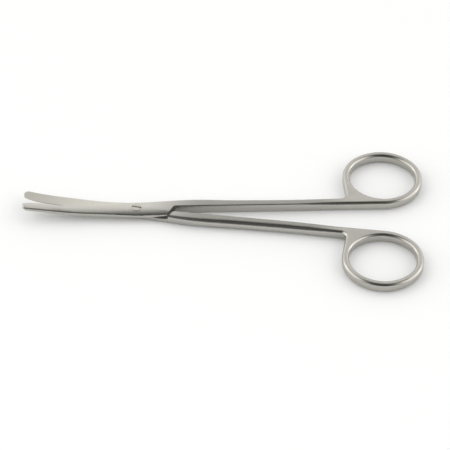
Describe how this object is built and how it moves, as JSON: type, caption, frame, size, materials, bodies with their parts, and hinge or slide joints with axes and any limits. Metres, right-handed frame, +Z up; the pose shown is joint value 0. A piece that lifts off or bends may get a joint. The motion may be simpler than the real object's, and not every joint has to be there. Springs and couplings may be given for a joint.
{
  "type": "curved dissecting scissors",
  "caption": "Slim dissecting scissors with curved blunt-tipped blades, a flush pivot screw and oval finger rings, lying a little open.",
  "frame": {"origin": "on the pivot screw's axis, in the plane of the surface that the scissors lie on", "axes": "+Z up along the pivot's axis, from the lower half to the screw's slotted head; +X from the pivot to the finger rings, midway between the two halves; the blades point along -X and their tips curve up towards +Z"},
  "size_m": [0.1439, 0.0634, 0.0066],
  "materials": {
    "satin_steel": "satin-finished stainless steel",
    "screw_steel": "finely turned stainless steel"
  },
  "bodies": {
    "lower": {"lower_half": "satin_steel", "pivot_screw": "screw_steel"},
    "upper": {"upper_half": "satin_steel"}
  },
  "joints": [
    {"name": "pivot", "type": "hinge", "parent": "lower", "child": "upper", "pos_m": [0, 0, 0], "axis": [0, 0, 1], "range_deg": [-7.8, 52]}
  ]
}
